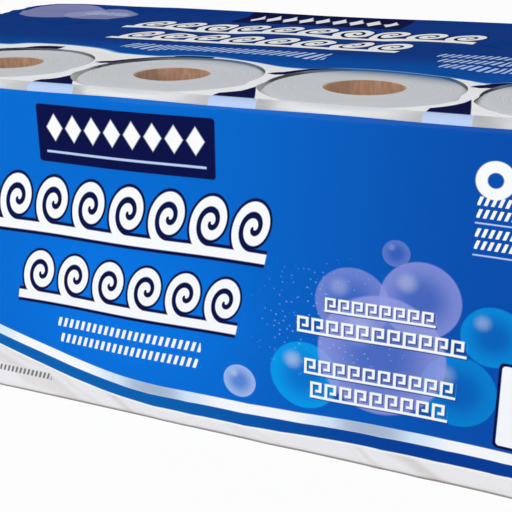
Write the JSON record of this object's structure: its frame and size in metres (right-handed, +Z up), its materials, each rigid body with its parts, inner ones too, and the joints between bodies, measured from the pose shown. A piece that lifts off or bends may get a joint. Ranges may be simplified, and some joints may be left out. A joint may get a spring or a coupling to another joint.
{
  "type": "toilet paper roll pack",
  "caption": "Bulk pack of toilet paper rolls standing in two layers, tightly wrapped in glossy blue printed film with a clear window along the top front edge.",
  "frame": {"origin": "middle of the pack's underside, on the surface that it stands on", "axes": "+X along the long front face to the right, +Y from the front to the back, +Z up along the rolls' axes"},
  "size_m": [0.6152, 0.3675, 0.2059],
  "materials": {
    "film": "glossy printed polyethylene",
    "tissue": "soft matt tissue",
    "core": "plain spiral-wound cardboard"
  },
  "bodies": {
    "root": {"film_wrap": "film", "roll_bottom_front_1": "tissue", "roll_bottom_front_2": "tissue", "roll_bottom_front_3": "tissue", "roll_bottom_front_4": "tissue", "roll_bottom_front_5": "tissue", "roll_bottom_middle_1": "tissue", "roll_bottom_middle_2": "tissue", "roll_bottom_middle_3": "tissue", "roll_bottom_middle_4": "tissue", "roll_bottom_middle_5": "tissue", "roll_bottom_back_1": "tissue", "roll_bottom_back_2": "tissue", "roll_bottom_back_3": "tissue", "roll_bottom_back_4": "tissue", "roll_bottom_back_5": "tissue", "roll_top_front_1": "tissue", "roll_top_front_2": "tissue", "roll_top_front_3": "tissue", "roll_top_front_4": "tissue", "roll_top_front_5": "tissue", "roll_top_middle_1": "tissue", "roll_top_middle_2": "tissue", "roll_top_middle_3": "tissue", "roll_top_middle_4": "tissue", "roll_top_middle_5": "tissue", "roll_top_back_1": "tissue", "roll_top_back_2": "tissue", "roll_top_back_3": "tissue", "roll_top_back_4": "tissue", "roll_top_back_5": "tissue", "cores_front_1": "core", "cores_front_2": "core", "cores_front_3": "core", "cores_front_4": "core", "cores_front_5": "core", "cores_middle_1": "core", "cores_middle_2": "core", "cores_middle_3": "core", "cores_middle_4": "core", "cores_middle_5": "core", "cores_back_1": "core", "cores_back_2": "core", "cores_back_3": "core", "cores_back_4": "core", "cores_back_5": "core"}
  },
  "joints": []
}
